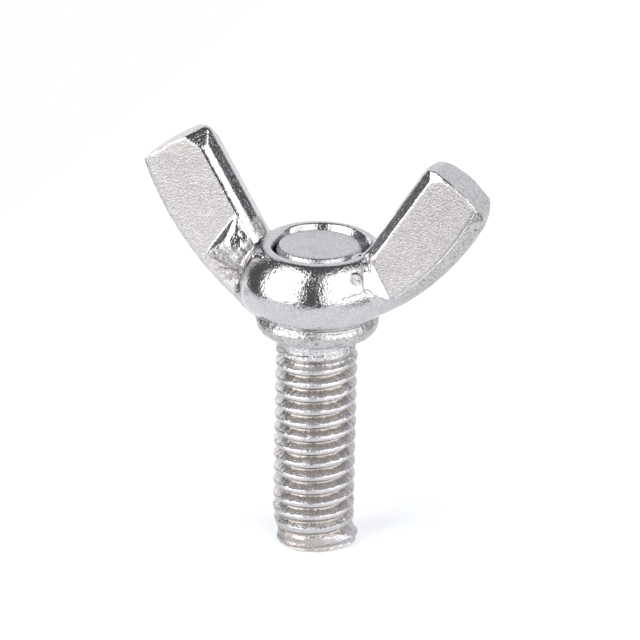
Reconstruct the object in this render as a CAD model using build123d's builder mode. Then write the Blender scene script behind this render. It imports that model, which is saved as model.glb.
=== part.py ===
"""M6 x 16 wing screw, American form: a forged wing head pressed onto a threaded stud.

The origin is the centre of the face that clamps the work, the underside of the head's collar.
+Z runs up the screw axis towards the wings, the wings spread along X, and the thread points down.
All sizes are in millimetres.
"""

from build123d import *
from math import atan2, cos, degrees, radians, sin, tan
import os

# ---- driving dimensions ----

# Thread, M6 x 1, right-handed, tolerance 6g
PITCH = 1.0
SHANK_LENGTH = 16.0
CREST_R = 2.90
ROOT_R = 2.39
PITCH_LINE_R = 2.675
THREAD_HALF_ANGLE = 30.0
NECK_R = 2.65
NECK_LENGTH = 0.35
NECK_RAMP = 0.4
TIP_CHAMFER = 0.35
RUNOUT_TURNS = 1.5
RUNOUT_OVERLAP = 30.0
RUNOUT_STEP = 0.03
GROOVE_OVERSHOOT = 0.15

# Stud shank, held in the head
KNURL_R = 3.02
KNURL_TEETH = 30
KNURL_DEPTH = 0.16
KNURL_BOTTOM = 0.6
KNURL_RAMP = 0.25
KNURL_TOP = 5.2
DISC_R = 2.97
DISC_FACE_R = 2.75
DISC_TOP = 6.28
DISC_CHAMFER_HEIGHT = 0.33

# Hub and collar of the wing head
BORE_R = 2.95
MOUTH_R = 3.42
MOUTH_ANGLE = 60.0
RIM_R = 3.94
RIM_HEIGHT = 6.22
HUB_R = 5.26
HUB_WAIST_HEIGHT = 3.6
CREASE_R = 4.06
CREASE_HEIGHT = 1.4
COLLAR_R = 4.30
COLLAR_WAIST_HEIGHT = 0.7
SEAT_R = 3.72

# Wings: tip corners in the XZ plane, and the section across a wing
WING_THICKNESS = 3.0
WING_TIP_INNER = (8.7, 13.85)
WING_TIP_OUTER = (12.75, 10.9)
WING_ROOT_INNER = (3.9, 6.0)
WING_ROOT_OUTER = (4.1, 1.95)
WING_OUTER_BEND = (9.75, 5.75)
WING_LEAN = 52.0
INNER_EDGE_THICKNESS = 2.0
OUTER_EDGE_THICKNESS = 1.4
INNER_BEVEL = 1.1
OUTER_BEVEL = 1.7
OUTER_EDGE_MARGIN = 0.4
TIP_CORNER_R = 0.55

os.makedirs("parts", exist_ok=True)


# ---- wing, the one on the +X side ----

wing_middle = (
    (WING_ROOT_INNER[0] + WING_TIP_OUTER[0]) / 2,
    (WING_ROOT_INNER[1] + WING_TIP_OUTER[1]) / 2,
)
along = Vector(cos(radians(WING_LEAN)), 0, sin(radians(WING_LEAN)))
across = Vector(-sin(radians(WING_LEAN)), 0, cos(radians(WING_LEAN)))


def place_across(point):
    """How far a point of the XZ plane lies from the wing's middle line, towards its inner edge."""
    offset = Vector(point[0] - wing_middle[0], 0, point[1] - wing_middle[1])
    return offset.dot(across)


inner_edge = place_across(WING_TIP_INNER)
outer_edge = place_across(WING_OUTER_BEND) - OUTER_EDGE_MARGIN

with BuildPart() as wing:
    with BuildSketch(Plane.XZ):
        with BuildLine():
            Line(WING_ROOT_INNER, WING_TIP_INNER)
            Line(WING_TIP_INNER, WING_TIP_OUTER)
            ThreePointArc(WING_TIP_OUTER, WING_OUTER_BEND, WING_ROOT_OUTER)
            Line(WING_ROOT_OUTER, WING_ROOT_INNER)
        make_face()
        fillet(vertices().group_by(Axis.Y)[-1], TIP_CORNER_R)
        fillet(vertices().group_by(Axis.X)[-1], TIP_CORNER_R)
    extrude(amount=WING_THICKNESS / 2, both=True)

    section_plane = Plane(
        origin=(wing_middle[0], 0, wing_middle[1]), x_dir=across, z_dir=along
    )
    with BuildSketch(section_plane):
        with BuildLine():
            half = WING_THICKNESS / 2
            Polyline(
                (inner_edge, INNER_EDGE_THICKNESS / 2),
                (inner_edge - INNER_BEVEL, half),
                (outer_edge + OUTER_BEVEL, half),
                (outer_edge, OUTER_EDGE_THICKNESS / 2),
                (outer_edge, -OUTER_EDGE_THICKNESS / 2),
                (outer_edge + OUTER_BEVEL, -half),
                (inner_edge - INNER_BEVEL, -half),
                (inner_edge, -INNER_EDGE_THICKNESS / 2),
                close=True,
            )
        make_face()
    extrude(amount=WING_TIP_OUTER[0] * 2, both=True, mode=Mode.INTERSECT)


# ---- wing head: hub, collar and both wings in one forging ----

with BuildPart() as wing_head:
    with BuildSketch(Plane.XZ):
        with BuildLine():
            Line((0, 0), (SEAT_R, 0))
            ThreePointArc(
                (SEAT_R, 0), (COLLAR_R, COLLAR_WAIST_HEIGHT), (CREASE_R, CREASE_HEIGHT)
            )
            ThreePointArc(
                (CREASE_R, CREASE_HEIGHT), (HUB_R, HUB_WAIST_HEIGHT), (RIM_R, RIM_HEIGHT)
            )
            Line((RIM_R, RIM_HEIGHT), (0, RIM_HEIGHT))
            Line((0, RIM_HEIGHT), (0, 0))
        make_face()
    revolve(axis=Axis.Z)
    add(wing.part)
    add(mirror(wing.part, about=Plane.YZ, mode=Mode.PRIVATE))
    with Locations((0, 0, RIM_HEIGHT)):
        CounterSinkHole(BORE_R, MOUTH_R, counter_sink_angle=MOUTH_ANGLE)

wing_head.part.label = "wing_head"
export_step(wing_head.part, "parts/wing_head.step")


# ---- threaded stud ----

flank = tan(radians(THREAD_HALF_ANGLE))
root_half_width = PITCH / 4 - (PITCH_LINE_R - ROOT_R) * flank
groove_depth = CREST_R + GROOVE_OVERSHOOT - ROOT_R
mouth_half_width = root_half_width + groove_depth * flank

with BuildPart() as threaded_stud:
    with BuildSketch(Plane.XZ):
        with BuildLine():
            Polyline(
                (0, -SHANK_LENGTH),
                (CREST_R - TIP_CHAMFER, -SHANK_LENGTH),
                (CREST_R, -SHANK_LENGTH + TIP_CHAMFER),
                (CREST_R, -NECK_LENGTH - NECK_RAMP),
                (NECK_R, -NECK_LENGTH),
                (NECK_R, KNURL_BOTTOM - KNURL_RAMP),
                (KNURL_R, KNURL_BOTTOM),
                (KNURL_R, KNURL_TOP),
                (DISC_R, KNURL_TOP),
                (DISC_R, DISC_TOP - DISC_CHAMFER_HEIGHT),
                (DISC_FACE_R, DISC_TOP),
                (0, DISC_TOP),
                close=True,
            )
        make_face()
    revolve(axis=Axis.Z)

    # Straight knurl that bites the head's bore
    with BuildSketch(Plane.XY.offset(KNURL_BOTTOM - KNURL_RAMP)):
        with PolarLocations(KNURL_R, KNURL_TEETH):
            RegularPolygon(KNURL_DEPTH, 4)
    extrude(amount=KNURL_TOP - KNURL_BOTTOM + KNURL_RAMP, mode=Mode.SUBTRACT)

    # Thread groove: full depth from the tip up to the runout, which then climbs out of the shank
    groove_bottom = -SHANK_LENGTH - PITCH / 2
    full_turns = round(-groove_bottom / PITCH - RUNOUT_TURNS)
    runout_cone = degrees(atan2(CREST_R - ROOT_R, RUNOUT_TURNS * PITCH))
    full_groove = Helix(
        PITCH, full_turns * PITCH, ROOT_R, (0, 0, groove_bottom), mode=Mode.PRIVATE
    )
    runout = Helix(
        PITCH,
        RUNOUT_TURNS * PITCH,
        ROOT_R + RUNOUT_STEP,
        (0, 0, groove_bottom + (full_turns - RUNOUT_OVERLAP / 360) * PITCH),
        cone_angle=runout_cone,
        mode=Mode.PRIVATE,
    ).rotate(Axis.Z, -RUNOUT_OVERLAP)
    for path in (full_groove, runout):
        start = path @ 0
        outward = Vector(start.X, start.Y, 0)
        with BuildSketch(Plane(origin=start, x_dir=outward, z_dir=path % 0)):
            with BuildLine():
                Polyline(
                    (0, -root_half_width),
                    (groove_depth, -mouth_half_width),
                    (groove_depth, mouth_half_width),
                    (0, root_half_width),
                    close=True,
                )
            make_face()
        sweep(path=path, is_frenet=True, mode=Mode.SUBTRACT)

threaded_stud.part.label = "threaded_stud"
export_step(threaded_stud.part, "parts/threaded_stud.step")
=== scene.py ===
"""Looks for the M6 wing screw: detailed forging and thread meshes, stainless steel materials, studio.

Shapes are worked out in millimetres and turned into metres when a mesh is made. x runs along the wings and
z up the stud's axis, with z = 0 at the collar's underside. The front is at negative y.
"""

import math

import bmesh
import bpy
import numpy as np
from mathutils import Matrix, Vector


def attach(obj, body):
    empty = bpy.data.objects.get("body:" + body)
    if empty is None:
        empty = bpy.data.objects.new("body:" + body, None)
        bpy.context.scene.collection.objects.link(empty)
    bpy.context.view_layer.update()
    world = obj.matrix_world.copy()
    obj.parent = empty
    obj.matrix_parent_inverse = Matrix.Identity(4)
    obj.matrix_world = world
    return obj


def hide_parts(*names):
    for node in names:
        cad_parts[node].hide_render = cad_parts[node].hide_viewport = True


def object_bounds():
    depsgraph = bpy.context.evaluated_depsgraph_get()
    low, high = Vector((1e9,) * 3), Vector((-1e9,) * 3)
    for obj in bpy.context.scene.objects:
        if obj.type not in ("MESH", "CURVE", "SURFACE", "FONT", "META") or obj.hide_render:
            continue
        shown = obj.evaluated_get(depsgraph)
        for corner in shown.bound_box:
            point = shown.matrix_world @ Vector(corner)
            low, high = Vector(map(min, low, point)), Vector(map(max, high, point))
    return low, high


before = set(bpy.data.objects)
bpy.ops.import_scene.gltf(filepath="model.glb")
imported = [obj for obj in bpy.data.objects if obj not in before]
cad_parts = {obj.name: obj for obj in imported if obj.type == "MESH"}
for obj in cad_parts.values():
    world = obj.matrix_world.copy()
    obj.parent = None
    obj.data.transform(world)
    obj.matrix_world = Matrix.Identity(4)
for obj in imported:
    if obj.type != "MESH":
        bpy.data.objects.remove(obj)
cad_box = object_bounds()
MM = 0.001
TINY = 1e-9


# ---------------------------------------------------------------- shape algebra, distances in mm


def round_max(a, b, radius):
    """Where both shapes are, with the outer edge between them rounded."""
    u = np.maximum(a + radius, 0)
    v = np.maximum(b + radius, 0)
    return np.minimum(-radius, np.maximum(a, b)) + np.hypot(u, v)


def round_min(a, b, radius):
    """Where either shape is, with a fillet in the corner between them."""
    return -round_max(-a, -b, radius)


def smooth_step(value, low, high):
    """Rises smoothly from 0 at low to 1 at high."""
    t = np.clip((value - low) / (high - low), 0, 1)
    return t * t * (3 - 2 * t)


def bump_at(value, centre, half_width):
    """Bell curve of height 1 round the centre."""
    return np.exp(-(((value - centre) / half_width) ** 2))


def half_plane(x, z, point, degrees):
    """Distance beyond a line in the XZ plane, whose outward side faces that way."""
    angle = math.radians(degrees)
    return (x - point[0]) * math.cos(angle) + (z - point[1]) * math.sin(angle)


def circle_through(a, b, c):
    """Centre and radius of the circle through three points."""
    ax, ay, bx, by, cx, cy = *a, *b, *c
    d = 2 * (ax * (by - cy) + bx * (cy - ay) + cx * (ay - by))
    aa, bb, cc = ax * ax + ay * ay, bx * bx + by * by, cx * cx + cy * cy
    x = (aa * (by - cy) + bb * (cy - ay) + cc * (ay - by)) / d
    y = (aa * (cx - bx) + bb * (ax - cx) + cc * (bx - ax)) / d
    return (x, y), math.hypot(ax - x, ay - y)


def beyond_arc(x, z, three_points):
    """Distance outside the circle through three points of the XZ plane."""
    centre, radius = circle_through(*three_points)
    return np.hypot(x - centre[0], z - centre[1]) - radius


TABLE_SIZE = 32
FAR_FROM_ZERO = 1000.0


def lattice_noise(points, cell, seed):
    """Smooth seeded noise from -1 to 1, with features that size in mm."""
    table = np.random.RandomState(seed).uniform(-1, 1, (TABLE_SIZE, TABLE_SIZE, TABLE_SIZE))
    at = np.asarray(points) / cell + FAR_FROM_ZERO
    low = np.floor(at).astype(int)
    t = at - low
    t = t * t * (3 - 2 * t)
    total = 0.0
    for dx in (0, 1):
        for dy in (0, 1):
            for dz in (0, 1):
                corner = table[tuple(((low + (dx, dy, dz)) % TABLE_SIZE).T)]
                share = np.abs(1 - dx - t[:, 0]) * np.abs(1 - dy - t[:, 1])
                total = total + corner * (share * np.abs(1 - dz - t[:, 2]))
    return total


# ---------------------------------------------------------------- meshes from distance fields

CUBE_CORNERS = [(dx, dy, dz) for dx in (0, 1) for dy in (0, 1) for dz in (0, 1)]
SLOPE_REACH = 0.2  # share of the grid step over which a slope is measured
PULLS = 4  # rounds of moving the points onto the surface
LONGEST_PULL = 0.3  # share of the grid step that a point moves in one round
FLATTEST = 0.25  # lowest squared slope that a pull divides by


def field_slope(field, points, step):
    """Gradient of the field at each point."""
    reach = step * SLOPE_REACH
    sides = [field(*(points + reach * unit).T) - field(*(points - reach * unit).T) for unit in np.eye(3)]
    return np.array(sides).T / (2 * reach)


def net_points(value, cells):
    """One point in each cell, at the mean of the places where the cell's edges cross the surface."""
    i, j, k = cells
    total = np.zeros((len(i), 3))
    crossings = np.zeros(len(i))
    for start in CUBE_CORNERS:
        for axis in range(3):
            if start[axis]:
                continue
            end = tuple(v + (n == axis) for n, v in enumerate(start))
            here = value[i + start[0], j + start[1], k + start[2]]
            there = value[i + end[0], j + end[1], k + end[2]]
            hit = (here < 0) != (there < 0)
            point = np.repeat(np.array([start], float), hit.sum(), 0)
            point[:, axis] += here[hit] / (here[hit] - there[hit])
            total[hit] += point
            crossings[hit] += 1
    return np.array([i, j, k], float).T + total / crossings[:, None]


def net_quads(inside, number):
    """One quad round each grid edge that crosses the surface, through the points of its four cells."""
    quads = []
    for axis in range(3):
        one, two = (axis + 1) % 3, (axis + 2) % 3
        near = [slice(1, -1)] * 3
        far = [slice(1, -1)] * 3
        near[axis], far[axis] = slice(0, -1), slice(1, None)
        first, second = inside[tuple(near)], inside[tuple(far)]
        crossed = first != second
        spot = np.array(np.nonzero(crossed)).T
        spot[:, one] += 1
        spot[:, two] += 1
        ring = []
        for shift_one, shift_two in ((1, 1), (0, 1), (0, 0), (1, 0)):
            cell = spot.copy()
            cell[:, one] -= shift_one
            cell[:, two] -= shift_two
            ring.append(number[cell[:, 0], cell[:, 1], cell[:, 2]])
        ring = np.array(ring).T
        backward = ~first[crossed]
        ring[backward] = ring[backward][:, ::-1]
        quads.append(ring)
    return np.concatenate(quads)


def pull_onto(field, points, step):
    """Moves points that are near the zero surface onto it."""
    for _ in range(PULLS):
        slope = field_slope(field, points, step)
        steepness = np.maximum((slope**2).sum(1), FLATTEST)
        move = slope * (field(*points.T) / steepness)[:, None]
        length = np.linalg.norm(move, axis=1)[:, None]
        points = points - move * np.minimum(1, LONGEST_PULL * step / np.maximum(length, TINY))
    return points


def surface_net(field, low, high, step):
    """Closed quad mesh of the zero surface of field(x, y, z) inside a box, on a grid of that step."""
    axes = [np.arange(lo, hi + step, step, dtype=np.float32) for lo, hi in zip(low, high)]
    x, y, z = np.meshgrid(*axes, indexing="ij", sparse=True)
    value = field(x, y, z).astype(np.float32)
    inside = value < 0
    nx, ny, nz = (n - 1 for n in value.shape)
    filled = np.zeros((nx, ny, nz), np.int8)
    for dx, dy, dz in CUBE_CORNERS:
        filled += inside[dx : dx + nx, dy : dy + ny, dz : dz + nz]
    cells = np.nonzero((filled > 0) & (filled < len(CUBE_CORNERS)))
    number = np.full((nx, ny, nz), -1, np.int32)
    number[cells] = np.arange(len(cells[0]))
    points = net_points(value, cells) * step + np.array([a[0] for a in axes], float)
    return pull_onto(field, points, step), net_quads(inside, number)


def make_object(name, points, faces):
    """Smooth-shaded mesh object from points in mm."""
    mesh = bpy.data.meshes.new(name)
    mesh.from_pydata((np.asarray(points) * MM).tolist(), [], [list(f) for f in faces])
    mesh.update()
    mesh.polygons.foreach_set("use_smooth", [True] * len(mesh.polygons))
    obj = bpy.data.objects.new(name, mesh)
    bpy.context.scene.collection.objects.link(obj)
    return obj


def vertex_places(mesh):
    """The mesh's points in mm."""
    places = np.empty(3 * len(mesh.vertices))
    mesh.vertices.foreach_get("co", places)
    return places.reshape(-1, 3) / MM


def add_mask(obj, name, values):
    """Stores a value from 0 to 1 at each point, for the materials to read."""
    layer = obj.data.attributes.new(name, "FLOAT", "POINT")
    layer.data.foreach_set("value", np.asarray(values, np.float32))


# ---------------------------------------------------------------- wing head: sizes

GRID_STEP = 0.1
HEAD_BOX = ((-13.4, -5.9, -0.5), (13.4, 5.9, 14.4))

# Bowl-shaped hub: widest at its waist, with a rim that rises from the front to the back
HUB_R = 5.26
HUB_WAIST = 3.75
CREASE = (4.06, 1.35)  # radius and height where the bowl meets the collar
RIM_R = 3.98
RIM_HEIGHT = 6.22  # at the front
RIM_RISE = 0.12  # from the front to the axis, and as much again to the back
RIM_ROUND = 0.07
HEEL_CENTRE = (-3.2, 0.0, 2.6)  # swelling of the bowl under the left wing, an ellipsoid
HEEL_STRETCH = (1.1, 1.6)  # along x and y
HEEL_R = 2.05

COLLAR_R = 4.30
COLLAR_HEIGHT = 1.42
COLLAR_WIDEST = 0.92
COLLAR_ROUND = 0.62
COLLAR_DROP = 0.02  # how far the collar's curve dips under z = 0

BORE_R = 2.96
MOUTH_R = 3.42
MOUTH_BOTTOM = 5.45
MOUTH_ROUND = 0.06
LEFT_SQUEEZE = (0.1, 1.5, 0.36)  # where the mouth closes in: y, half width, how much
RIGHT_SQUEEZE = (-0.9, 0.55, 0.4)

LEFT_FILLET = 0.2
RIGHT_FILLET = 0.15
HEEL_FILLET = 0.5
COLLAR_FILLET = 0.1

FLAT_Y = 1.42  # half the thickness between the coined flats

# Each wing in its own plane: x away from the axis, z up. Headings are degrees from x towards z.
# The right wing, towards +x, is 1 and the left one is -1.
# inner: a point of the straight inner edge, and the heading that the edge faces.
# tip, outer: three points of the arc at the wing's end and of the arc along its outer edge.
# tip_round: rounding of the outline's corners at the tip.
# outer_start: where the bevel along the outer edge starts, as the distance in from that edge and |y|.
# pad: faces of the thicker root, each a point (x, |y|, z) and its lean (heading, tilt).
# end_tilt: tilt of the bevel along the tip.
# inner_bevel: distance in and tilt of the bevel along the inner edge.
# inner_round: rounding between that bevel and the flat.
# corner, corner_lean: point and lean of the facet at the tip's inner corner.
WINGS = {
    1: dict(
        inner=(5.93, 10.4, 147.5),
        tip=((8.66, 13.42), (10.44, 12.49), (12.25, 10.68)),
        tip_round=0.9,
        outer=((12.36, 10.17), (9.29, 5.56), (4.95, 1.91)),
        outer_start=(0.85, FLAT_Y),
        pad=(
            ((5.12, FLAT_Y, 5.0), (29.0, 52.0)),
            ((4.4, FLAT_Y, 6.3), (95.0, 45.0)),
            ((5.0, 2.3, 4.5), (0.0, 38.0)),
        ),
        end_tilt=42,
        inner_bevel=(0.93, 38),
        inner_round=0.03,
        corner=(8.47, FLAT_Y, 12.75),
        corner_lean=(105.0, 30.0),
    ),
    -1: dict(
        inner=(6.13, 10.28, 148.4),
        tip=((8.49, 13.72), (10.3, 12.74), (12.9, 10.85)),
        tip_round=0.5,
        outer=((12.8, 10.15), (9.25, 4.42), (5.28, 0.88)),
        outer_start=(0.58, FLAT_Y),
        pad=(
            ((6.85, FLAT_Y, 6.25), (33.7, 42.0)),
            ((5.5, FLAT_Y, 8.19), (60.0, 20.5)),
            ((5.38, 1.63, 7.45), (145.0, 14.0)),
            ((6.35, 1.84, 5.76), (-20.0, 14.0)),
            ((6.6, 1.8, 4.9), (-66.0, 32.0)),
        ),
        end_tilt=31,
        inner_bevel=(0.64, 45),
        inner_round=0.2,
        corner=(8.84, FLAT_Y, 12.8),
        corner_lean=(116.0, 52.0),
    ),
}

# What both wings share. A bevel's start is the distance in from its edge and |y|; tilts are in degrees.
STEEP_INNER_START = (0.30, 1.04)
STEEP_INNER_TILT = 76
OUTER_TILT = 42
STEEP_OUTER_START = (0.25, 0.75)
STEEP_OUTER_TILT = 68
END_START = 0.07
END_WAVE = 0.05  # the end bevel's edge wanders by this much
END_WAVES = 3.3  # radians of that wave in each mm
END_WAVE_PHASE = 1.6
ROOT_ROUND = 0.6
PAD_ROUND = 0.08
INNER_PAIR_ROUND = 0.1
OUTER_PAIR_ROUND = 0.3
OUTER_ROUND = 0.12
END_ROUND = 0.03
CORNER_ROUND = 0.05
OUTLINE_ROUND = 0.09


# ---------------------------------------------------------------- wing head: shape


def direction(degrees, tilt):
    """Unit normal (x, |y|, z) that leans from the wing's face towards a heading in its plane."""
    heading, lean = math.radians(degrees), math.radians(tilt)
    return math.sin(lean) * math.cos(heading), math.cos(lean), math.sin(lean) * math.sin(heading)


def leaning_face(x, ay, z, point, lean):
    """Distance beyond a plane through a point (x, |y|, z), with its lean as (heading, tilt)."""
    nx, ny, nz = direction(*lean)
    return (x - point[0]) * nx + (ay - point[1]) * ny + (z - point[2]) * nz


def bevel(ay, inset, start, tilt):
    """Distance beyond a bevel that starts that far in from an edge where |y| is start[1]."""
    lean = math.radians(tilt)
    return (ay - start[1]) * math.cos(lean) + (inset + start[0]) * math.sin(lean)


def waist_arc(point):
    """Centre radius and arc radius of a hub profile arc that is upright at the waist and passes a point."""
    rise = point[1] - HUB_WAIST
    reach = HUB_R - point[0]
    radius = (reach**2 + rise**2) / (2 * reach)
    return HUB_R - radius, radius


def bowl(r, z):
    """Hub turned round the axis: one arc from the waist up to the rim, another down to the crease."""
    upper = waist_arc((RIM_R, RIM_HEIGHT))
    lower = waist_arc(CREASE)
    high = np.hypot(np.maximum(r - upper[0], 0), z - HUB_WAIST) - upper[1]
    low = np.hypot(np.maximum(r - lower[0], 0), z - HUB_WAIST) - lower[1]
    return np.where(z > HUB_WAIST, high, low)


def collar(r, z):
    """Rounded washer face: a short quick shoulder above its widest point, a long curve below."""
    over = np.maximum(r - (COLLAR_R - COLLAR_ROUND), 0) / COLLAR_ROUND
    reach = np.where(z > COLLAR_WIDEST, COLLAR_HEIGHT - COLLAR_WIDEST, COLLAR_WIDEST + COLLAR_DROP)
    return (np.hypot(over, (z - COLLAR_WIDEST) / reach) - 1) * COLLAR_ROUND


def heel(x, y, z):
    """Swelling that carries the left wing's root into the bowl."""
    along = (x - HEEL_CENTRE[0]) / HEEL_STRETCH[0]
    across = (y - HEEL_CENTRE[1]) / HEEL_STRETCH[1]
    return np.sqrt(along**2 + across**2 + (z - HEEL_CENTRE[2]) ** 2) - HEEL_R


def mouth(x, y, r, z):
    """Flared mouth of the bore; beside each wing the forging is squeezed in against the stud."""
    left = bump_at(y, *LEFT_SQUEEZE[:2]) * (x < 0)
    right = bump_at(y, *RIGHT_SQUEEZE[:2]) * (x > 0)
    wide = MOUTH_R - LEFT_SQUEEZE[2] * left - RIGHT_SQUEEZE[2] * right
    slope = (wide - BORE_R) / (RIM_HEIGHT - MOUTH_BOTTOM)
    flare = (r - BORE_R - (z - MOUTH_BOTTOM) * slope) / np.hypot(1, slope)
    return np.minimum(r - BORE_R, flare)


def wing(side, x, y, z):
    """One wing: a thick blank, with the coined flats that its die presses into both faces."""
    shape = WINGS[side]
    x = x * side
    ay = np.abs(y)
    ix, iz, turn = shape["inner"]
    inner = half_plane(x, z, (ix, iz), turn)
    tip = beyond_arc(x, z, shape["tip"])
    outer = beyond_arc(x, z, shape["outer"])
    outline = round_max(round_max(inner, outer, ROOT_ROUND), tip, shape["tip_round"])

    pad = leaning_face(x, ay, z, *shape["pad"][0])
    for point, lean in shape["pad"][1:]:
        pad = round_max(pad, leaning_face(x, ay, z, point, lean), PAD_ROUND)
    faces = np.minimum(ay - FLAT_Y, pad)

    inset, tilt = shape["inner_bevel"]
    along_inner = bevel(ay, inner, (inset, FLAT_Y), tilt)
    steep_inner = bevel(ay, inner, STEEP_INNER_START, STEEP_INNER_TILT)
    along_inner = round_max(along_inner, steep_inner, INNER_PAIR_ROUND)
    along_outer = bevel(ay, outer, shape["outer_start"], OUTER_TILT)
    steep_outer = bevel(ay, outer, STEEP_OUTER_START, STEEP_OUTER_TILT)
    along_outer = round_max(along_outer, steep_outer, OUTER_PAIR_ROUND)
    ripple = END_START + END_WAVE * np.sin(END_WAVES * x + END_WAVE_PHASE)
    end = bevel(ay, tip, (ripple, FLAT_Y), shape["end_tilt"])
    corner = leaning_face(x, ay, z, shape["corner"], shape["corner_lean"])

    body = round_max(faces, along_outer, OUTER_ROUND)
    body = round_max(body, along_inner, shape["inner_round"])
    body = round_max(body, end, END_ROUND)
    body = round_max(body, corner, CORNER_ROUND)
    return round_max(body, outline, OUTLINE_ROUND)


def wing_head(x, y, z):
    """The whole forging: bowl, two wings, heel and collar, with the bore and its mouth cut out."""
    r = np.hypot(x, y)
    rise = RIM_RISE * (1 + y / RIM_R)
    body = round_max(bowl(r, z - rise * (z > HUB_WAIST)), z - (RIM_HEIGHT + rise), RIM_ROUND)
    body = round_min(body, wing(1, x, y, z), RIGHT_FILLET)
    body = round_min(body, wing(-1, x, y, z), LEFT_FILLET)
    body = round_min(body, heel(x, y, z), HEEL_FILLET)
    body = round_min(body, collar(r, z), COLLAR_FILLET)
    return round_max(body, -mouth(x, y, r, z), MOUTH_ROUND)


# ---------------------------------------------------------------- wing head: forging marks

# Rough patches that the dies left: centre, radius, relief in mm
ROUGH_PATCHES = (
    ((-5.8, -1.8, 4.5), 1.6, 0.08),
    ((-4.35, -2.0, 6.2), 0.75, 0.10),
    ((-4.3, -0.3, 7.0), 0.8, 0.08),
    ((4.1, -1.3, 6.2), 0.6, 0.06),
    ((3.9, -2.8, 5.35), 0.6, 0.03),
)
PATCH_FADE = (0.55, 1.15)  # shares of the radius between which a patch fades out
# Round marks pressed into the forging: centre, radius, depth and half width in mm
RING_MARKS = (
    ((3.9, -2.8, 5.35), 0.5, 0.05, 0.1),
    ((4.05, -2.75, 5.2), 0.16, 0.05, 0.09),
)
# Folds and flash lines: the points along each, its height (minus for a fold), its half width
FOLDS = (
    (((-4.75, -2.1, 5.27), (-5.4, -1.7, 4.2), (-5.9, -1.5, 3.2)), -0.14, 0.14),
    (((-4.5, -2.2, 4.95), (-5.0, -1.8, 4.0), (-5.4, -1.5, 3.2)), -0.08, 0.1),
    (((-4.75, -2.0, 3.2), (-4.4, -2.5, 4.5), (-4.15, -2.6, 5.2), (-3.86, -2.5, 5.7)), 0.09, 0.13),
    (((-3.86, -2.5, 5.7), (-3.3, -2.8, 5.99), (-2.9, -3.1, 6.0)), 0.10, 0.12),
    (((-5.1, -1.7, 6.8), (-4.5, -1.7, 6.6), (-4.1, -1.2, 6.7)), -0.12, 0.14),
    (((4.4, -2.6, 4.6), (4.95, -2.1, 4.0), (5.5, -1.6, 3.5)), -0.12, 0.12),
    (((3.3, -4.0, 4.4), (3.9, -3.4, 4.5), (4.4, -2.65, 4.6)), 0.04, 0.1),
    (((3.9, -1.5, 6.2), (4.1, -2.1, 5.6), (4.25, -2.3, 5.2), (4.36, -2.5, 4.85)), -0.14, 0.13),
    (((3.4, -0.75, 6.3), (4.3, -0.8, 6.6)), 0.12, 0.25),
    (((11.2, -1.25, 9.5), (11.6, -0.9, 9.6), (12.0, -0.3, 9.75)), -0.04, 0.22),
    (((11.0, -1.0, 8.75), (11.5, -0.3, 8.7)), -0.05, 0.24),
    (((11.7, -1.1, 10.2), (11.9, -0.8, 10.3)), 0.05, 0.3),
)

# Noise as cell size in mm and seed
FINE_GRAIN = (0.24, 11)
COARSE_GRAIN = (0.55, 12)
SWELL = (0.9, 13)
SWELL_HEIGHT = 0.006
FINE_SHARE, COARSE_SHARE = 0.7, 0.6  # of each grain in a rough patch
RING_GRAIN = 0.8  # how unevenly deep a ring mark is
COLLAR_REACH = (3.3, 3.9)  # radii between which the collar turns rough
COLLAR_TOP = 1.5
COLLAR_RELIEF = 0.022

# How roughly forged the polished parts are, from 0 to 1
COLLAR_FORGED = 0.6
OUTER_FORGED = 0.3
UNDERSIDE_FORGED = 0.3  # added where the outer edge faces down
INNER_FORGED = 0.75
FACING = (0.1, 0.4)  # parts of the normal between which a face counts as facing out or in
FACING_DOWN = (0.05, 0.3)
FACING_FRONT = (0.3, 0.5)
OUTER_REACH = (5.5, 7.0)  # distances from the axis between which the edges' finish begins
INNER_REACH = (5.5, 6.5)


def line_distance(points, a, b):
    """Distance from each point to the straight line between a and b."""
    a, b = np.array(a), np.array(b)
    share = np.clip((points - a) @ (b - a) / ((b - a) @ (b - a)), 0, 1)
    return np.linalg.norm(points - a - share[:, None] * (b - a), axis=1)


def raw_edges(points, normal):
    """How roughly forged the wings' outer edges and the right wing's narrow inner face are."""
    x, side = points[:, 0], np.sign(points[:, 0])
    outer = smooth_step(normal[:, 0] * side, *FACING) * smooth_step(x * side, *OUTER_REACH)
    outer = outer * (OUTER_FORGED + UNDERSIDE_FORGED * smooth_step(-normal[:, 2], *FACING_DOWN))
    inner = smooth_step(-normal[:, 0], *FACING) * smooth_step(x, *INNER_REACH)
    inner = INNER_FORGED * inner * (1 - smooth_step(np.abs(normal[:, 1]), *FACING_FRONT))
    return np.maximum(outer, inner)


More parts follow.
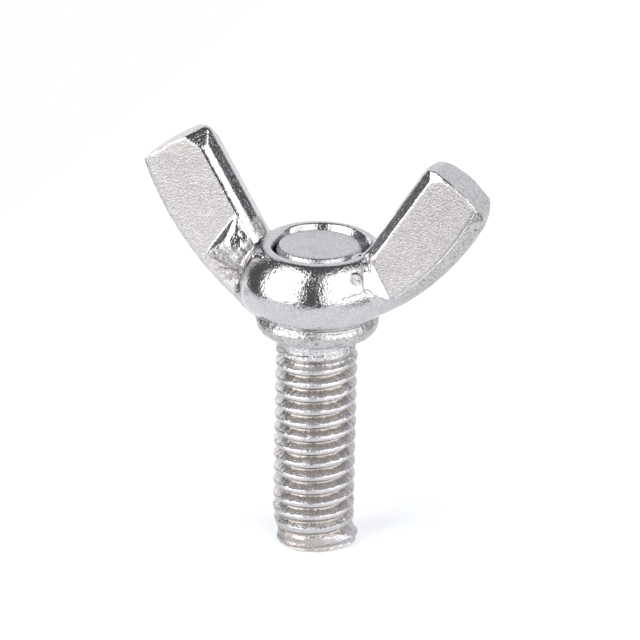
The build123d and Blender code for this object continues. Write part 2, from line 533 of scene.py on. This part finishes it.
def wear(points):
    """Moves the head's points for its patches, marks and folds, and says how roughly forged each one is."""
    normal = field_slope(wing_head, points, GRID_STEP)
    normal /= np.maximum(np.linalg.norm(normal, axis=1)[:, None], TINY)
    fine = lattice_noise(points, *FINE_GRAIN)
    coarse = lattice_noise(points, *COARSE_GRAIN)
    height = SWELL_HEIGHT * lattice_noise(points, *SWELL)
    forged = raw_edges(points, normal)
    for centre, radius, relief in ROUGH_PATCHES:
        away = np.linalg.norm(points - np.array(centre), axis=1) / radius
        share = 1 - smooth_step(away, *PATCH_FADE)
        height = height + relief * share * (FINE_SHARE * fine + COARSE_SHARE * coarse)
        forged = np.maximum(forged, share)
    for centre, radius, sunk, half_width in RING_MARKS:
        away = np.linalg.norm(points - np.array(centre), axis=1)
        height = height - sunk * bump_at(away, radius, half_width) * (1 + RING_GRAIN * fine)
    for line, rise, half_width in FOLDS:
        away = np.min([line_distance(points, a, b) for a, b in zip(line[:-1], line[1:])], axis=0)
        height = height + rise * bump_at(away, 0, half_width)
    washer = smooth_step(np.hypot(points[:, 0], points[:, 1]), *COLLAR_REACH) * (points[:, 2] < COLLAR_TOP)
    height = height + COLLAR_RELIEF * washer * fine
    forged = np.maximum(forged, COLLAR_FORGED * washer)
    return points + normal * height[:, None], forged


# ---------------------------------------------------------------- wing head: object

CREASE_DEGREES = 14
RIGHT_WING_FROM = (5.4, 5.0)  # x and z
LEFT_TOP_FROM = (-8.0, 12.2)
LEFT_END_FROM = -10.5
FLAT_BLUR = (0.012, 0.04)  # distances off the flats' plane between which the satin finish ends
FLAT_REACH = (4.3, 4.6)  # radii between which it begins


def is_crisp(x, z):
    """The right wing, and the top and the outer end of the left one."""
    right_wing = (x > RIGHT_WING_FROM[0]) & (z > RIGHT_WING_FROM[1])
    left_top = (x < LEFT_TOP_FROM[0]) & (z > LEFT_TOP_FROM[1])
    left_end = x < LEFT_END_FROM
    return right_wing | left_top | left_end


def sharpen(mesh):
    """Keeps the shading crisp at the creases of the crisp places, so that it doesn't bleed across them."""
    mesh.set_sharp_from_angle(angle=math.radians(CREASE_DEGREES))
    ends = np.empty(2 * len(mesh.edges), np.int32)
    mesh.edges.foreach_get("vertices", ends)
    middle = vertex_places(mesh)[ends.reshape(-1, 2)].mean(1)
    layer = mesh.attributes["sharp_edge"]
    sharp = np.empty(len(mesh.edges), bool)
    layer.data.foreach_get("value", sharp)
    layer.data.foreach_set("value", sharp & is_crisp(middle[:, 0], middle[:, 2]))


def forge_head():
    """The head as a mesh object, with masks for its satin flats and its rough forging."""
    points, quads = surface_net(wing_head, *HEAD_BOX, GRID_STEP)
    points, forged = wear(points)
    obj = make_object("forged_wing_head", points, quads)
    sharpen(obj.data)
    x, y, _ = points.T
    off_flat = np.abs(np.abs(y) - FLAT_Y)
    satin = (1 - smooth_step(off_flat, *FLAT_BLUR)) * smooth_step(np.hypot(x, y), *FLAT_REACH)
    add_mask(obj, "satin", satin)
    add_mask(obj, "forged", forged)
    return obj


head = forge_head()
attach(head, "root")
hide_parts("wing_head")


# ---------------------------------------------------------------- stud: sizes

PITCH = 1.0
CREST_R = 2.87
ROOT_R = 2.34
NECK_R = 2.64
CREST_HALF = 0.125  # half the width of a crest
FLANK_SLOPE = math.tan(math.radians(60))
CROWN_DROP = 0.02  # how far a crest falls away to its corners
CREST_ROUND = 0.02
GROOVE_ROUND = 0.05
TIP = -15.95
THREAD_TOP = -0.12

# Noise as cell size in mm and seed, read on a cylinder of this radius
NOISE_R = 3.0
RAGGED = (0.22, 3)
RAGGED_SQUASH = (1, 1, 0.5)
DRIFT = (1.6, 4)
CHIPS = (0.3, 5)
SHEAR = (0.5, 6)
LEAD_DRIFT = 0.012  # share of a turn by which the helix wanders
UPPER_RAG, LOWER_RAG = 0.055, 0.012  # raggedness of a crest's two edges
CREST_DRIFT, CREST_RAG = 0.012, 0.008
NECK_RAG = 0.015

# Depths below the collar's underside between which something sets in
CREST_FADE = (0.6, 1.6)
GROOVE_FADE = (1.3, 2.1)
GROOVE_FADE_DRIFT = 0.2
NARROWING = (13.6, 15.4)
WORN_FIRST = (12.2, 13.6)
WORN_MORE = (13.8, 15.2)
BURR_RISE, BURR_FALL = (14.7, 15.25), (15.5, 15.9)
LIP_RISE = (15.5, 15.65)

NARROWER = 0.3  # at the cut end
NARROWER_ASIDE = 0.12  # more on one side, less on the other
ASIDE = math.radians(201)
WORN_SHARE = 0.2  # how far each stage of wear takes the thread towards a plain cone
CHIP_DEPTH = 0.05
BURR_AT, BURR_WIDTH, BURR_HEIGHT = math.radians(8), 0.6, 0.5
BURR_FALL_SHARE = 0.5
LIP_AT, LIP_WIDTH, LIP_HEIGHT = math.radians(215), 1.1, 0.09
LIP_GROOVE, LIP_GROOVE_WIDTH, LIP_GROOVE_SHARE = 15.4, 0.12, 0.6
CUT_CHIPS = 0.06
CUT_SLANT, CUT_SLANT_AT = 0.05, 0.6

# Rows of the mesh across one turn, as shares of the pitch from the crest's middle. They are closest at the
# corners of the crest and of the groove.
HALF_TURN = (0.0, 0.06, 0.1, 0.125, 0.145, 0.17, 0.22, 0.31, 0.39, 0.425, 0.445, 0.47)
TURN = HALF_TURN + (0.5,) + tuple(1 - t for t in HALF_TURN[:0:-1])
COLUMNS = 192

# Plain end above the thread: shank in the bore, chamfered edge and flat disc, as radius and height
DISC_TOP = 6.28
DISC_R = 2.90
DISC_FACE_R = 2.74
PLAIN_END = (
    (NECK_R, 0.5),
    (2.9, 0.7),
    (2.93, 5.4),
    (DISC_R + 0.05, 5.75),
    (DISC_R + 0.06, 5.9),
    (DISC_R + 0.02, 5.99),
    (DISC_FACE_R + 0.05, 6.21),
    (DISC_FACE_R + 0.01, 6.25),
    (DISC_FACE_R - 0.05, 6.27),
    (DISC_FACE_R - 0.4, 6.275),
    (1.6, DISC_TOP),
    (0.8, DISC_TOP),
)
WELD_DISTANCE = 1e-4  # mm


# ---------------------------------------------------------------- stud: shape


def soft_max(a, b, width):
    """The larger of two, with the corner where they cross rounded over that width."""
    share = np.clip(0.5 + 0.5 * (a - b) / width, 0, 1)
    return b + (a - b) * share + width * share * (1 - share)


def on_cylinder(z, theta):
    """Points round the stud at which the noise is read."""
    return np.stack([NOISE_R * np.cos(theta), NOISE_R * np.sin(theta), z], 1)


def rolled_thread(z, theta, ragged, drift):
    """Radius of the 60 degree thread: crowned ragged crests and rounded roots."""
    turn = z / PITCH - theta / (2 * np.pi) + LEAD_DRIFT * drift
    offset = (turn - np.round(turn)) * PITCH
    across = np.abs(offset)
    half = CREST_HALF + np.where(offset > 0, UPPER_RAG * ragged, LOWER_RAG * ragged)
    flank = CREST_R - (across - half) * FLANK_SLOPE
    crown = CREST_R - CROWN_DROP * (across / CREST_HALF) ** 2 + CREST_DRIFT * drift + CREST_RAG * ragged
    radius = -soft_max(-flank, -crown, CREST_ROUND)
    return soft_max(radius, np.full_like(z, ROOT_R), GROOVE_ROUND)


def faded_top(radius, z, ragged, drift):
    """Lets the thread fade into the plain neck under the collar."""
    crest_fade = smooth_step(-z, *CREST_FADE)
    groove_fade = smooth_step(-z, GROOVE_FADE[0], GROOVE_FADE[1] + GROOVE_FADE_DRIFT * drift)
    crest = np.maximum(radius - NECK_R, 0) * crest_fade
    groove = np.minimum(radius - NECK_R, 0) * groove_fade
    return NECK_R + crest + groove + NECK_RAG * ragged * (1 - groove_fade)


def bruised_end(radius, z, theta, chips, drift):
    """Narrows and wears the last turns, with a burr on one side of the cut and a lip on the other."""
    narrowing = smooth_step(-z, *NARROWING)
    narrower = NARROWER + NARROWER_ASIDE * np.cos(theta - ASIDE)
    limit = CREST_R - narrower * narrowing + CHIP_DEPTH * (drift + chips) * narrowing
    worn = WORN_SHARE * (smooth_step(-z, *WORN_FIRST) + smooth_step(-z, *WORN_MORE))
    filled = radius * (1 - worn) + limit * worn + CHIP_DEPTH * chips * worn
    turned = np.abs(theta - BURR_AT)
    burr = bump_at(np.minimum(turned, 2 * np.pi - turned), 0, BURR_WIDTH)
    burr = burr * (smooth_step(-z, *BURR_RISE) - BURR_FALL_SHARE * smooth_step(-z, *BURR_FALL))
    groove = LIP_GROOVE_SHARE * bump_at(-z, LIP_GROOVE, LIP_GROOVE_WIDTH)
    lip = bump_at(theta, LIP_AT, LIP_WIDTH) * (smooth_step(-z, *LIP_RISE) - groove)
    return np.minimum(filled, limit) + BURR_HEIGHT * burr + LIP_HEIGHT * lip


def thread_radius(z, theta):
    """Radius of the stud's threaded part at each height and angle."""
    around = on_cylinder(z, theta)
    ragged = lattice_noise(around * RAGGED_SQUASH, *RAGGED)
    drift = lattice_noise(around, *DRIFT)
    chips = lattice_noise(around, *CHIPS)
    radius = rolled_thread(z, theta, ragged, drift)
    radius = faded_top(radius, z, ragged, drift)
    return bruised_end(radius, z, theta, chips, drift)


def stud_rings(angles):
    """Radius and height of each ring of points, and how many rings follow the helix.

    The helix has a spare turn below the tip and one above the top, and its ends are pressed flat there.
    """
    turns = int(math.ceil((THREAD_TOP - TIP) / PITCH)) + 2
    lowest = math.floor(TIP / PITCH) - 1
    start = np.concatenate([(lowest + turn + np.array(TURN)) * PITCH for turn in range(turns)])
    chipped = CUT_CHIPS * (1 + lattice_noise(on_cylinder(angles * 0, angles), *SHEAR))
    cut = TIP + chipped + CUT_SLANT * (1 + np.cos(angles - CUT_SLANT_AT))
    z = np.clip(start[:, None] + angles / (2 * np.pi) * PITCH, cut, THREAD_TOP)
    theta = np.broadcast_to(angles, z.shape)
    radius = thread_radius(z.ravel(), theta.ravel()).reshape(z.shape)
    plain = np.repeat(np.array(PLAIN_END)[:, :, None], len(angles), 2)
    return np.concatenate([radius, plain[:, 0]]), np.concatenate([z, plain[:, 1]]), len(start)


def stud_faces(rings, helix_rings):
    """Quads between the rings and a fan over each end. At the seam a helix ring meets the one a turn up."""
    faces = []
    per_turn = len(TURN)
    last = rings - 1
    for ring in range(last):
        for column in range(COLUMNS):
            here, over = ring * COLUMNS + column, (ring + 1) * COLUMNS + column
            if column < COLUMNS - 1:
                faces.append((here, here + 1, over + 1, over))
            elif ring + 1 + per_turn < helix_rings:
                beside = (ring + per_turn) * COLUMNS
                faces.append((here, beside, beside + COLUMNS, over))
            elif ring >= helix_rings - 1:
                faces.append((here, ring * COLUMNS, (ring + 1) * COLUMNS, over))
    top = rings * COLUMNS
    bottom = top + 1
    for column in range(COLUMNS):
        beside = (column + 1) % COLUMNS
        faces.append((last * COLUMNS + column, last * COLUMNS + beside, top))
        faces.append((beside, column, bottom))
    return faces


def weld(mesh):
    """Joins the points that meet at the seam, and where the rings are pressed together at the two ends."""
    work = bmesh.new()
    work.from_mesh(mesh)
    bmesh.ops.remove_doubles(work, verts=work.verts, dist=WELD_DISTANCE * MM)
    bmesh.ops.dissolve_degenerate(work, edges=work.edges, dist=WELD_DISTANCE * MM)
    work.to_mesh(mesh)
    work.free()


# ---------------------------------------------------------------- stud: object

GROOVE_SHADE_RADII = (2.55, 2.78)  # radii between which the grooves' painted brown shade ends
GROOVE_SHADE_START = (1.2, 2.2)  # depths between which it begins
NECK_END = (-1.8, -1.2)  # heights between which the neck's rough finish ends
NECK_TOP = 0.3
BRUISED = 0.3  # how much of that finish the worn end has
BRUISE_START = (12.2, 13.8)  # depths between which it begins


def roll_stud():
    """The stud as a mesh object, with masks for the painted shade in its grooves and for its rough neck and
    tip.
    """
    angles = np.arange(COLUMNS) / COLUMNS * 2 * np.pi
    radius, z, helix_rings = stud_rings(angles)
    theta = np.broadcast_to(angles, z.shape)
    points = np.stack([radius * np.cos(theta), radius * np.sin(theta), z], 2).reshape(-1, 3)
    points = np.concatenate([points, [[0, 0, DISC_TOP], [0, 0, TIP]]])
    obj = make_object("rolled_stud", points, stud_faces(len(z), helix_rings))
    weld(obj.data)
    x, y, z = vertex_places(obj.data).T
    # groove mask: where the painted brown shade goes, deeper in the grooves, standing in for light bounced
    # between the flanks
    groove = (1 - smooth_step(np.hypot(x, y), *GROOVE_SHADE_RADII)) * smooth_step(-z, *GROOVE_SHADE_START)
    neck = smooth_step(z, *NECK_END) * (z < NECK_TOP)
    add_mask(obj, "groove", groove)
    add_mask(obj, "neck", np.maximum(neck, BRUISED * smooth_step(-z, *BRUISE_START)))
    return obj


stud = roll_stud()
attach(stud, "root")
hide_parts("threaded_stud")


# ---------------------------------------------------------------- materials


class Shader:
    """Small helper that adds and links the nodes of one material. Its noises follow the object."""

    def __init__(self, name):
        self.material = bpy.data.materials.new(name)
        self.material.use_nodes = True
        self.tree = self.material.node_tree
        self.surface = self.tree.nodes["Principled BSDF"]

    def put(self, socket, value):
        """Links another node's output to the socket, or sets the socket's own value."""
        if isinstance(value, bpy.types.NodeSocket):
            self.tree.links.new(value, socket)
        elif hasattr(socket.default_value, "__len__") and not hasattr(value, "__len__"):
            socket.default_value = [value] * len(socket.default_value)
        else:
            socket.default_value = value

    def attribute(self, name):
        node = self.tree.nodes.new("ShaderNodeAttribute")
        node.attribute_name = name
        return node.outputs["Fac"]

    def place(self):
        return self.tree.nodes.new("ShaderNodeTexCoord").outputs["Object"]

    def mapped(self, setting, value):
        """The place, with the mapping node's Location or Scale set."""
        node = self.tree.nodes.new("ShaderNodeMapping")
        self.put(node.inputs["Vector"], self.place())
        node.inputs[setting].default_value = value
        return node.outputs["Vector"]

    def noise(self, cells_per_mm, detail, rough, where=None):
        node = self.tree.nodes.new("ShaderNodeTexNoise")
        self.put(node.inputs["Vector"], where or self.place())
        node.inputs["Scale"].default_value = cells_per_mm / MM
        node.inputs["Detail"].default_value = detail
        node.inputs["Roughness"].default_value = rough
        return node.outputs["Fac"]

    def math(self, operation, a, b):
        node = self.tree.nodes.new("ShaderNodeMath")
        node.operation = operation
        self.put(node.inputs[0], a)
        self.put(node.inputs[1], b)
        return node.outputs[0]

    def times(self, a, b):
        return self.math("MULTIPLY", a, b)

    def plus(self, a, b):
        return self.math("ADD", a, b)

    def ramp(self, value, low, high, out_low=0.0, out_high=1.0):
        """Smooth change from out_low to out_high while the value goes from low to high."""
        node = self.tree.nodes.new("ShaderNodeMapRange")
        node.interpolation_type = "SMOOTHSTEP"
        self.put(node.inputs["Value"], value)
        self.put(node.inputs["From Min"], low)
        self.put(node.inputs["From Max"], high)
        self.put(node.inputs["To Min"], out_low)
        self.put(node.inputs["To Max"], out_high)
        return node.outputs[0]

    def mix(self, share, a, b):
        """Colour between a and b; sockets 6 and 7 and output 2 are the node's colour ones."""
        node = self.tree.nodes.new("ShaderNodeMix")
        node.data_type = "RGBA"
        self.put(node.inputs[0], share)
        self.put(node.inputs[6], a if isinstance(a, bpy.types.NodeSocket) else (*a, 1))
        self.put(node.inputs[7], b if isinstance(b, bpy.types.NodeSocket) else (*b, 1))
        return node.outputs[2]

    def shade(self, colour, factor):
        """The colour, darker or lighter by a factor."""
        node = self.tree.nodes.new("ShaderNodeVectorMath")
        node.operation = "SCALE"
        self.put(node.inputs[0], colour)
        self.put(node.inputs["Scale"], factor)
        return node.outputs[0]

    def soil(self, colour, pits, dirt):
        """The colour with dark pits: a tenth everywhere, more where there is dirt."""
        dark = self.times(pits, self.plus(dirt, CLEAN_DIRT))
        return self.shade(colour, self.math("SUBTRACT", 1.0, dark))

    def bump(self, height, depth_mm, after=None):
        node = self.tree.nodes.new("ShaderNodeBump")
        node.inputs["Distance"].default_value = depth_mm * MM
        self.put(node.inputs["Height"], height)
        if after:
            self.put(node.inputs["Normal"], after)
        return node.outputs["Normal"]

    def finish(self, colour, roughness, normal):
        self.put(self.surface.inputs["Base Color"], colour)
        self.surface.inputs["Metallic"].default_value = 1.0
        self.put(self.surface.inputs["Roughness"], roughness)
        self.put(self.surface.inputs["Normal"], normal)
        return self.material


POLISHED = (0.545, 0.535, 0.548)
SATIN = (0.532, 0.514, 0.506)
SCALE_BROWN = (0.43, 0.41, 0.395)
# painted shade: darker brown for the grooves, standing in for the light bounced between their flanks
GROOVE_SHADE_BROWN = (0.46, 0.43, 0.41)
CLEAN_DIRT = 0.1  # how much the pits darken clean steel
MIDDLE = (0.3, 0.7)  # where most of a noise's values lie

HEAD_PITS = (0.52, 0.64)
SPECKLE_EDGE = (0.35, 0.6)
GRAIN_DEPTH, FINE_DEPTH, RELIEF_DEPTH = 0.024, 0.015, 0.12  # mm
FORGED_DIRT, FORGED_ROUGHER = 0.6, 0.24
POLISHED_ROUGH, SATIN_ROUGH = 0.1, 0.3
SATIN_RELIEF = 0.1  # share of the relief that the coining leaves on the flats
CLEAN_RELIEF = 0.05  # share of the forging's relief where the steel is smooth
TARNISH = (0.86, 1.1)
TARNISH_SHIFT = (0.1, 0.2, 0.3)

NECK_DIRT, NECK_ROUGHER = 0.35, 0.06
NECK_GRAIN = 2.2  # how many times deeper the grain is there than on the thread
STUD_PITS = (0.5, 0.62)
STUD_GRAIN_DEPTH, STREAK_DEPTH = 0.045, 0.03  # mm
STUD_ROUGH = (0.2, 0.32)
STREAK_SCALE = (1.0, 1.0, 5.0)
PIT_SCALE = (1.0, 1.0, 2.0)


def head_steel():
    """Tumbled forging: polished, satin on the coined flats, browner and rougher where it was left raw."""
    s = Shader("tumbled_forging")
    satin = s.attribute("satin")
    forged = s.attribute("forged")
    grain = s.noise(cells_per_mm=5.0, detail=2.0, rough=0.5)
    fine = s.noise(cells_per_mm=8.0, detail=2.0, rough=0.5)
    speckle = s.noise(cells_per_mm=2.6, detail=4.0, rough=0.6)
    tarnish = s.noise(cells_per_mm=6.0, detail=3.0, rough=0.7, where=s.mapped("Location", TARNISH_SHIFT))
    pits = s.ramp(s.noise(cells_per_mm=5.0, detail=3.0, rough=0.7), *HEAD_PITS)
    relief_left = s.ramp(satin, 0.0, 1.0, 1.0, SATIN_RELIEF)

    colour = s.mix(satin, POLISHED, SATIN)
    colour = s.mix(s.times(forged, s.ramp(speckle, *SPECKLE_EDGE)), colour, SCALE_BROWN)
    colour = s.shade(colour, s.ramp(tarnish, *MIDDLE, *TARNISH))
    colour = s.soil(colour, pits, s.times(forged, FORGED_DIRT))

    rough = s.ramp(satin, 0.0, 1.0, POLISHED_ROUGH, SATIN_ROUGH)
    rough = s.plus(rough, s.times(forged, FORGED_ROUGHER))

    normal = s.bump(s.times(grain, relief_left), GRAIN_DEPTH)
    normal = s.bump(fine, FINE_DEPTH, normal)
    relief = s.times(speckle, s.times(s.plus(forged, CLEAN_RELIEF), relief_left))
    normal = s.bump(relief, RELIEF_DEPTH, normal)
    return s.finish(colour, rough, normal)


def stud_steel():
    """Rolled steel: fine streaks round the axis, painted brown shade in the grooves, duller at the neck and
    tip.
    """
    s = Shader("rolled_stud_steel")
    groove = s.attribute("groove")
    neck = s.attribute("neck")
    grain = s.noise(cells_per_mm=6.0, detail=2.0, rough=0.6)
    streaks = s.noise(cells_per_mm=1.2, detail=3.0, rough=0.6, where=s.mapped("Scale", STREAK_SCALE))
    pits = s.noise(cells_per_mm=5.0, detail=3.0, rough=0.7, where=s.mapped("Scale", PIT_SCALE))
    pits = s.ramp(pits, *STUD_PITS)

    # painted shade: the grooves are mixed towards a darker brown
    colour = s.mix(groove, POLISHED, GROOVE_SHADE_BROWN)
    colour = s.soil(colour, pits, s.times(neck, NECK_DIRT))
    rough = s.ramp(streaks, *MIDDLE, *STUD_ROUGH)
    rough = s.plus(rough, s.times(neck, NECK_ROUGHER))
    deeper = s.ramp(neck, 0.0, 1.0, 1.0, NECK_GRAIN)
    normal = s.bump(s.times(grain, deeper), STUD_GRAIN_DEPTH)
    normal = s.bump(streaks, STREAK_DEPTH, normal)
    return s.finish(colour, rough, normal)


head.data.materials.append(head_steel())
stud.data.materials.append(stud_steel())


# ---------------------------------------------------------------- studio

FLOOR_LEFT, FLOOR_RIGHT = -0.045, 0.045
FLOOR_FRONT, FLOOR_BACK = -0.045, 0.35
FLOOR_COLOUR = (0.9, 0.9, 0.9, 1)
FLOOR_GLOW = (0.85, 0.91, 1, 1)
FLOOR_GLOW_STRENGTH = 0.24
FLOOR_ROUGHNESS = 0.8
FLOOR_SPECULAR = 0.2

ROOM = (0.95, 0.97, 1, 1)
ROOM_STRENGTH = 0.15
BACKDROP = (1, 1, 1, 1)

LAMP_DISTANCE = 0.6
WHITE = (1.0, 1.0, 1.0)
COOL = (0.97, 0.97, 1.0)
# Name, azimuths and elevations that it spans as seen from the part, radiance, colour
LAMPS = (
    ("left_box", (-67, -7), (-17, 61), 3.2, WHITE),
    ("right_box", (28, 113), (-17, 61), 2.2, WHITE),
    ("back_panel", (140, 216), (-25, 48), 0.95, COOL),
    ("back_left_panel", (216, 247), (-25, 48), 1.45, COOL),
)


def pale_floor():
    """Matt white paper that glows slightly, so that the part's shadow stays light."""
    material = bpy.data.materials.new("pale_floor")
    material.use_nodes = True
    surface = material.node_tree.nodes["Principled BSDF"]
    surface.inputs["Base Color"].default_value = FLOOR_COLOUR
    surface.inputs["Roughness"].default_value = FLOOR_ROUGHNESS
    surface.inputs["Specular IOR Level"].default_value = FLOOR_SPECULAR
    surface.inputs["Emission Color"].default_value = FLOOR_GLOW
    surface.inputs["Emission Strength"].default_value = FLOOR_GLOW_STRENGTH
    return material


def lay_floor():
    """Pale paper sheet: it ends just in front of the view, so the steel's lower half mirrors its edge."""
    z = cad_box[0][2]
    front = [(FLOOR_LEFT, FLOOR_FRONT, z), (FLOOR_RIGHT, FLOOR_FRONT, z)]
    back = [(FLOOR_RIGHT, FLOOR_BACK, z), (FLOOR_LEFT, FLOOR_BACK, z)]
    mesh = bpy.data.meshes.new("floor")
    mesh.from_pydata(front + back, [], [(0, 1, 2, 3)])
    obj = bpy.data.objects.new("floor", mesh)
    bpy.context.scene.collection.objects.link(obj)
    mesh.materials.append(pale_floor())


def soft_box(name, azimuths, elevations, radiance, colour):
    """Upright rectangular lamp that spans those angles as seen from the part."""
    left, right = azimuths
    low, high = (LAMP_DISTANCE * math.tan(math.radians(e)) for e in elevations)
    light = bpy.data.lights.new(name, "AREA")
    light.shape = "RECTANGLE"
    light.size = 2 * LAMP_DISTANCE * math.tan(math.radians(right - left) / 2)
    light.size_y = high - low
    light.energy = radiance * math.pi * light.size * light.size_y
    light.color = colour
    obj = bpy.data.objects.new(name, light)
    bpy.context.scene.collection.objects.link(obj)
    middle = math.radians(left + right) / 2
    towards = Vector((math.sin(middle), -math.cos(middle), 0))
    obj.location = towards * LAMP_DISTANCE + Vector((0, 0, (low + high) / 2))
    obj.rotation_euler = towards.to_track_quat("Z", "Y").to_euler()
    obj.visible_camera = False


def dim_room():
    """Dark room for reflections, plain white for the camera."""
    world = bpy.data.worlds.new("studio")
    bpy.context.scene.world = world
    world.use_nodes = True
    tree = world.node_tree
    tree.nodes.clear()
    out = tree.nodes.new("ShaderNodeOutputWorld")
    mix = tree.nodes.new("ShaderNodeMixShader")
    path = tree.nodes.new("ShaderNodeLightPath")
    room = tree.nodes.new("ShaderNodeBackground")
    room.inputs["Color"].default_value = ROOM
    room.inputs["Strength"].default_value = ROOM_STRENGTH
    backdrop = tree.nodes.new("ShaderNodeBackground")
    backdrop.inputs["Color"].default_value = BACKDROP
    backdrop.inputs["Strength"].default_value = 1.0
    tree.links.new(path.outputs["Is Camera Ray"], mix.inputs[0])
    tree.links.new(room.outputs[0], mix.inputs[1])
    tree.links.new(backdrop.outputs[0], mix.inputs[2])
    tree.links.new(mix.outputs[0], out.inputs[0])


lay_floor()
for lamp in LAMPS:
    soft_box(*lamp)
dim_room()
bpy.context.scene.view_settings.view_transform = "Standard"


# ---------------------------------------------------------------- camera

AZIMUTH, ELEVATION, ROLL = 20.92, 22.64, 1.235
DISTANCE = 0.4189
FOCAL_LENGTH, SENSOR = 340.008, 36.0
SHIFT = 0.0041875
AIM = Vector((0, 0, 0.616 * MM))


def set_camera():
    """Long lens at that azimuth and elevation, rolled slightly, aimed at a point of the stud's axis."""
    data = bpy.data.cameras.new("camera")
    data.sensor_width = SENSOR
    data.lens = FOCAL_LENGTH
    data.shift_x = SHIFT
    camera = bpy.data.objects.new("camera", data)
    bpy.context.scene.collection.objects.link(camera)
    around, up = math.radians(AZIMUTH), math.radians(ELEVATION)
    back = Vector((math.sin(around) * math.cos(up), -math.cos(around) * math.cos(up), math.sin(up)))
    look = back.to_track_quat("Z", "Y").to_matrix().to_4x4()
    roll = Matrix.Rotation(math.radians(ROLL), 4, "Z")
    camera.matrix_world = Matrix.Translation(AIM + back * DISTANCE) @ look @ roll
    bpy.context.scene.camera = camera


set_camera()
